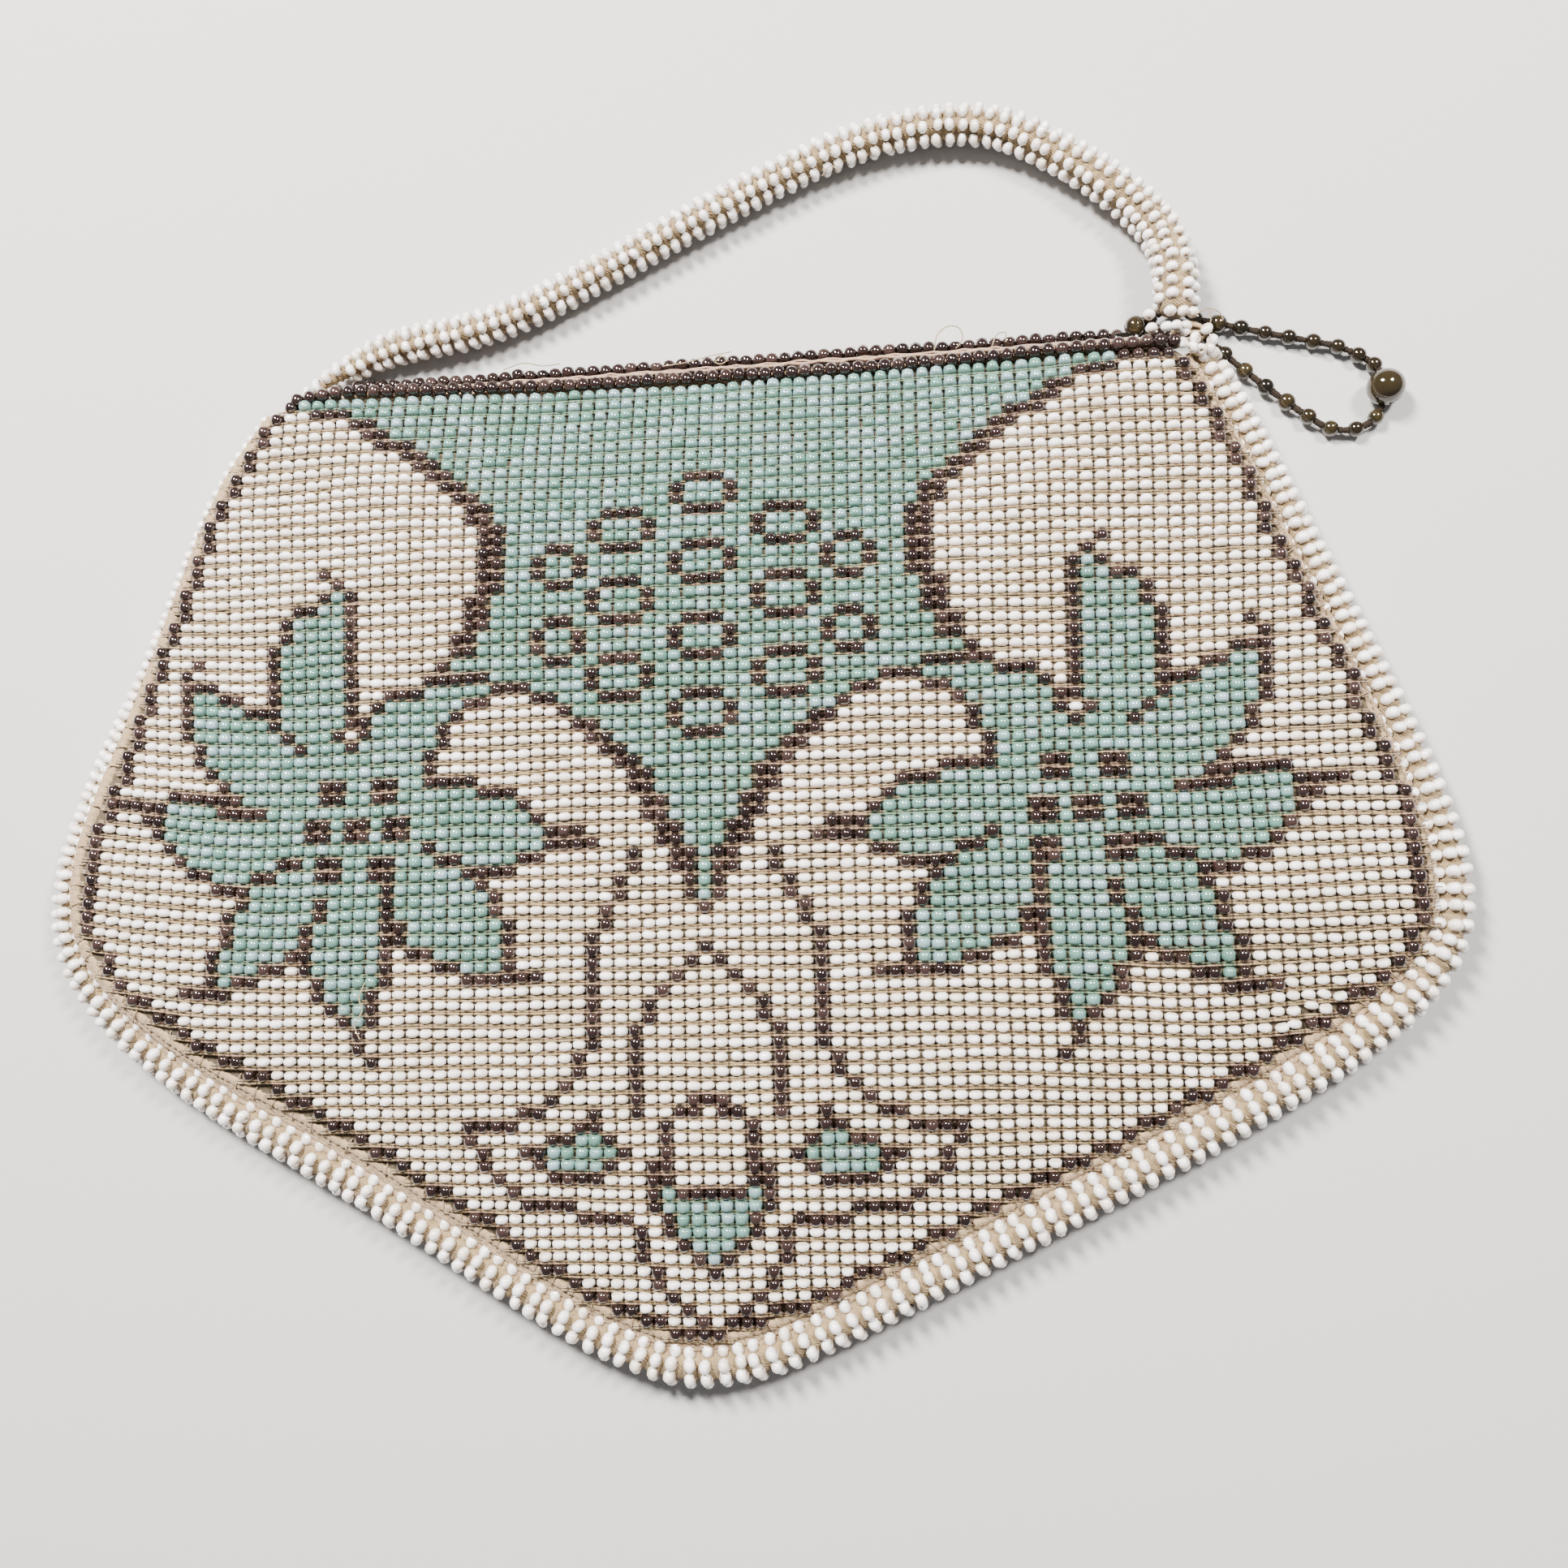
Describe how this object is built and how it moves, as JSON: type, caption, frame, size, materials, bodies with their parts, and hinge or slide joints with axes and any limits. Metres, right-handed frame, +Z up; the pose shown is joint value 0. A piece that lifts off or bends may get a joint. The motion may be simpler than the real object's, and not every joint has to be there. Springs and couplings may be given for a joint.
{
  "type": "beaded purse",
  "caption": "Flat shield-shaped beaded evening purse with a domed front, a bead-wrapped edge rope, a curved top handle, a closed zip and a beaded zip pull.",
  "frame": {"origin": "on the resting face of the back panel, on the bag's centre line, level with its widest part", "axes": "+X across the bag to the side with the zip pull, +Y along the bag towards the handle, +Z up out of the domed front"},
  "size_m": [0.2059, 0.1866, 0.0141],
  "materials": {
    "white_beads": "glossy opaque white seed beads on tan thread",
    "bronze_beads": "metallic bronze-brown seed beads",
    "olive_beads": "metallic olive-gold beads",
    "cotton": "matt woven cotton tape and thread"
  },
  "bodies": {
    "root": {"front_panel": "white_beads", "back_panel": "white_beads", "side_rope": "white_beads", "handle_rope": "white_beads", "front_rim": "bronze_beads", "back_rim": "bronze_beads", "zip_closed": "cotton", "zip_pull_string": "olive_beads", "zip_pull_bead": "olive_beads", "corner_tie": "white_beads"}
  },
  "joints": []
}
